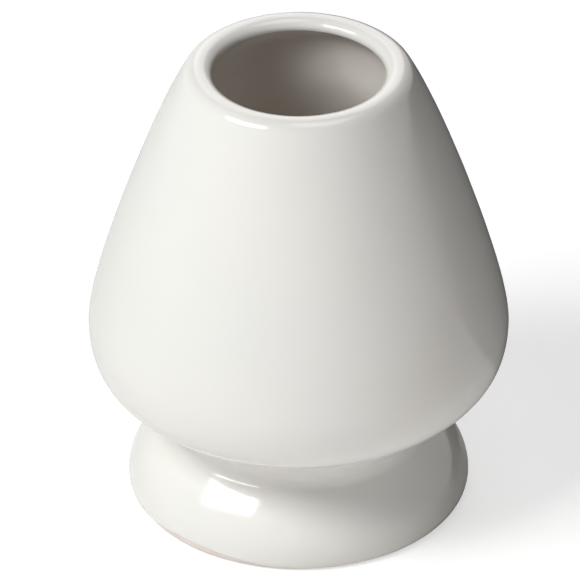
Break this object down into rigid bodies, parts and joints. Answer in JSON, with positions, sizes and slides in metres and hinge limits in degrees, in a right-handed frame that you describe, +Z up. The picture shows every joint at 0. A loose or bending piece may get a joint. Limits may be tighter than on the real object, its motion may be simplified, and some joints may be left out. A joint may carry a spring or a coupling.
{
  "type": "tea whisk holder",
  "caption": "Glazed ceramic stand for a bamboo tea whisk: a hollow cone-shaped head with a round mouth on a flared, hollow foot.",
  "frame": {"origin": "centre of the flat ring that the holder stands on, on the tabletop plane", "axes": "+Z up through the middle of the mouth; X and Y are alike, because the holder is turned about Z"},
  "size_m": [0.065, 0.065, 0.075],
  "materials": {
    "fired_clay": "bare fired clay, fine and matt, faintly pink",
    "fired_slip": "fired slip, fine and matt",
    "white_glaze": "warm white glaze, glossy"
  },
  "bodies": {
    "root": {"head_shell": "fired_clay", "foot_pedestal": "fired_clay", "luting_slip": "fired_slip", "outer_glaze": "white_glaze", "well_glaze": "white_glaze", "recess_glaze": "white_glaze"}
  },
  "joints": []
}
